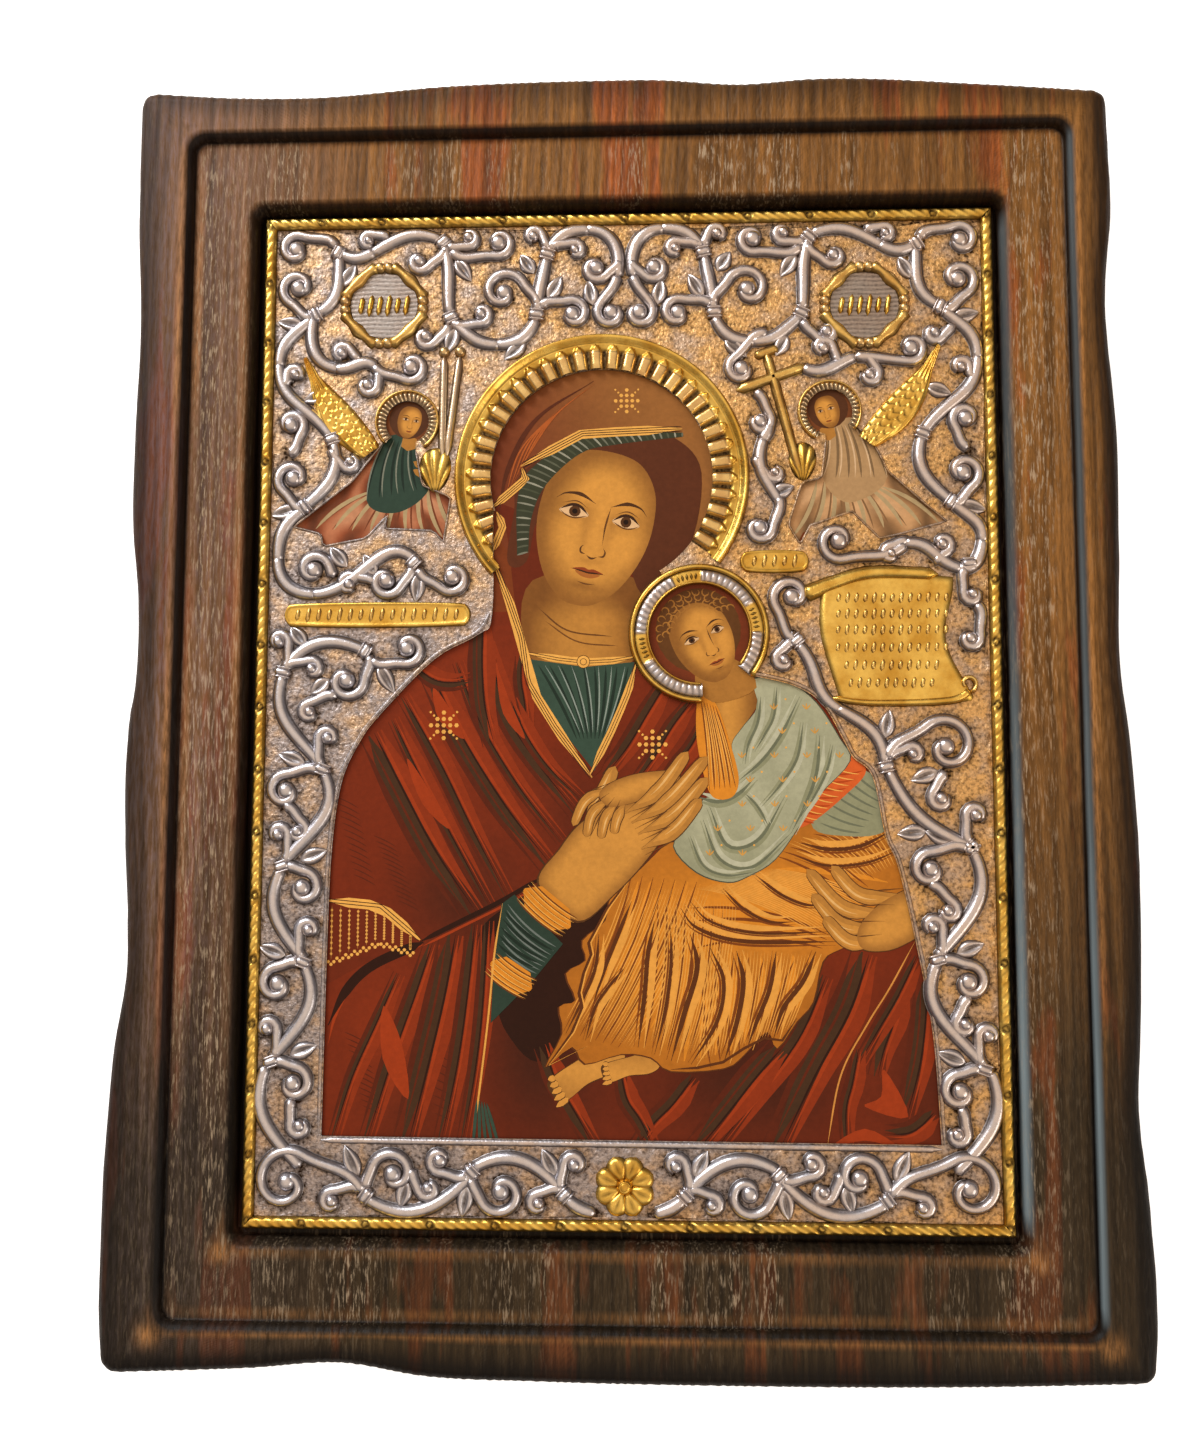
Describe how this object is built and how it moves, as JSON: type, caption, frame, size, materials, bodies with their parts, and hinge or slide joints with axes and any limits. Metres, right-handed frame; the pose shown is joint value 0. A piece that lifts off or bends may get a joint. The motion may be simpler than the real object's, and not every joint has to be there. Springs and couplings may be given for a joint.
{
  "type": "icon panel",
  "caption": "Framed icon panel: a carved, stained wooden board with a stepped border holds a painted panel under an embossed silver cover, part gilt, cut out round the figures.",
  "frame": {"origin": "middle of the overall width and height, on the flat back face", "axes": "+Y to the top of the picture, +X to the viewer's right, +Z out of the picture's front"},
  "size_m": [0.3126, 0.4016, 0.028],
  "materials": {
    "stained_wood": "brushed open grain, dark stain worn brown and reddish, satin wax",
    "paint": "painted and varnished panel in maroon, ochre, sage green and gold",
    "silver_gilt": "embossed silver sheet, part gilt, with dark patina in the hollows"
  },
  "bodies": {
    "root": {"wooden_board": "stained_wood", "painted_panel": "paint", "metal_cover": "silver_gilt"}
  },
  "joints": []
}
